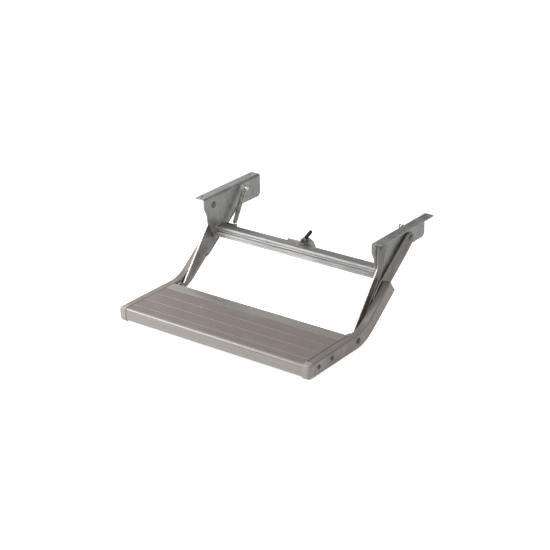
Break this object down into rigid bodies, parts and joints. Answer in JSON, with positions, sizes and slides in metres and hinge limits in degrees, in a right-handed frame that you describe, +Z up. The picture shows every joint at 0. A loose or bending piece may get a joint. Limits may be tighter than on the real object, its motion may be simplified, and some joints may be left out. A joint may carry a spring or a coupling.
{
  "type": "caravan entry step",
  "caption": "Fold-out entry step: a ribbed tread on four swinging links between two slotted brackets, with a cross beam, assist springs and a small latch lever.",
  "frame": {"origin": "centre of the four mounting slots, in the top face of the bracket flanges", "axes": "+Z up to the vehicle floor, +X to the right along the tread, -Y to where the tread comes out"},
  "size_m": [0.5548, 0.5145, 0.218],
  "materials": {
    "bracket_paint": "satin grey coat over folded steel sheet",
    "beam_zinc": "rolled steel with a streaked zinc finish",
    "bright_zinc": "zinc plated steel",
    "link_zinc": "pressed steel, dull zinc plate",
    "spring_steel": "spring wire with a brownish film",
    "tread_aluminium": "anodised extruded aluminium, satin",
    "grip_surface": "fine gritty non-slip strip",
    "arm_aluminium": "anodised extruded aluminium, satin",
    "cap_plastic": "light grey moulded plastic",
    "plug_plastic": "dark moulded plastic",
    "dark_fastener": "black oxide steel",
    "latch_zinc": "dull zinc plated sheet",
    "sleeve_rubber": "black soft sleeve"
  },
  "bodies": {
    "frame": {"bracket_right": "bracket_paint", "bracket_left": "bracket_paint", "cross_beam": "beam_zinc", "beam_end_right": "link_zinc", "beam_end_left": "link_zinc", "beam_rivets_right": "bright_zinc", "beam_rivets_left": "bright_zinc", "front_pivot_pin_right": "link_zinc", "front_pivot_pin_left": "link_zinc", "rear_pivot_pin_right": "link_zinc", "rear_pivot_pin_left": "link_zinc", "rear_pivot_collar_right": "link_zinc", "rear_pivot_collar_left": "link_zinc", "spring_pin_right": "bright_zinc", "spring_pin_left": "bright_zinc", "latch_plate": "latch_zinc", "latch_rivets": "bright_zinc", "latch_pin": "dark_fastener", "torsion_spring": "dark_fastener"},
    "front_links": {"front_link_right": "link_zinc", "front_link_left": "link_zinc"},
    "rear_links": {"rear_link_right": "link_zinc", "rear_link_left": "link_zinc", "toggle_rivet_right": "bright_zinc", "toggle_rivet_left": "bright_zinc", "spring_post_right": "bright_zinc", "spring_post_left": "bright_zinc"},
    "step": {"tread": "tread_aluminium", "grip_strip_1": "grip_surface", "grip_strip_2": "grip_surface", "grip_strip_3": "grip_surface", "grip_strip_4": "grip_surface", "side_arm_right": "arm_aluminium", "side_arm_left": "arm_aluminium", "end_cap_right": "cap_plastic", "end_cap_left": "cap_plastic", "arm_plug_right": "plug_plastic", "arm_plug_left": "plug_plastic", "arm_screws_right": "dark_fastener", "arm_screws_left": "dark_fastener", "pivot_bolt_right": "dark_fastener", "pivot_bolt_left": "dark_fastener", "pivot_collar_right": "bright_zinc", "pivot_collar_left": "bright_zinc", "pivot_nut_right": "bright_zinc", "pivot_nut_left": "bright_zinc"},
    "springs": {"assist_spring_right": "spring_steel", "assist_spring_left": "spring_steel"},
    "lever": {"latch_lever": "dark_fastener", "lever_grip": "sleeve_rubber"}
  },
  "joints": [
    {"name": "step_fold", "type": "hinge", "parent": "frame", "child": "front_links", "pos_m": [0, -0.0765, -0.024], "axis": [1, 0, 0], "range_deg": [0, 87]},
    {"name": "step_level", "type": "hinge", "parent": "front_links", "child": "step", "pos_m": [0, -0.2105, -0.199], "axis": [1, 0, 0], "range_deg": [-87, 0]},
    {"name": "rear_link_swing", "type": "hinge", "parent": "frame", "child": "rear_links", "pos_m": [0, 0.04212, -0.039], "axis": [1, 0, 0], "range_deg": [0, 121.28]},
    {"name": "spring_swing", "type": "hinge", "parent": "frame", "child": "springs", "pos_m": [0, 0.036, -0.012], "axis": [1, 0, 0], "range_deg": [0, 93.32], "deforming": ["assist_spring_right", "assist_spring_left"]},
    {"name": "latch_press", "type": "hinge", "parent": "frame", "child": "lever", "pos_m": [0.0085, -0.05125, -0.071], "axis": [0, 1, 0], "range_deg": [0, 25], "stiffness_Nm_per_rad": 0.3, "springref_deg": -11.46}
  ],
  "couplings": [
    {"joint": "step_level", "follows": "step_fold", "ratio": -1},
    {"joint": "rear_link_swing", "follows": "step_fold", "ratio": 1.394},
    {"joint": "spring_swing", "follows": "step_fold", "ratio": 1.0725}
  ]
}
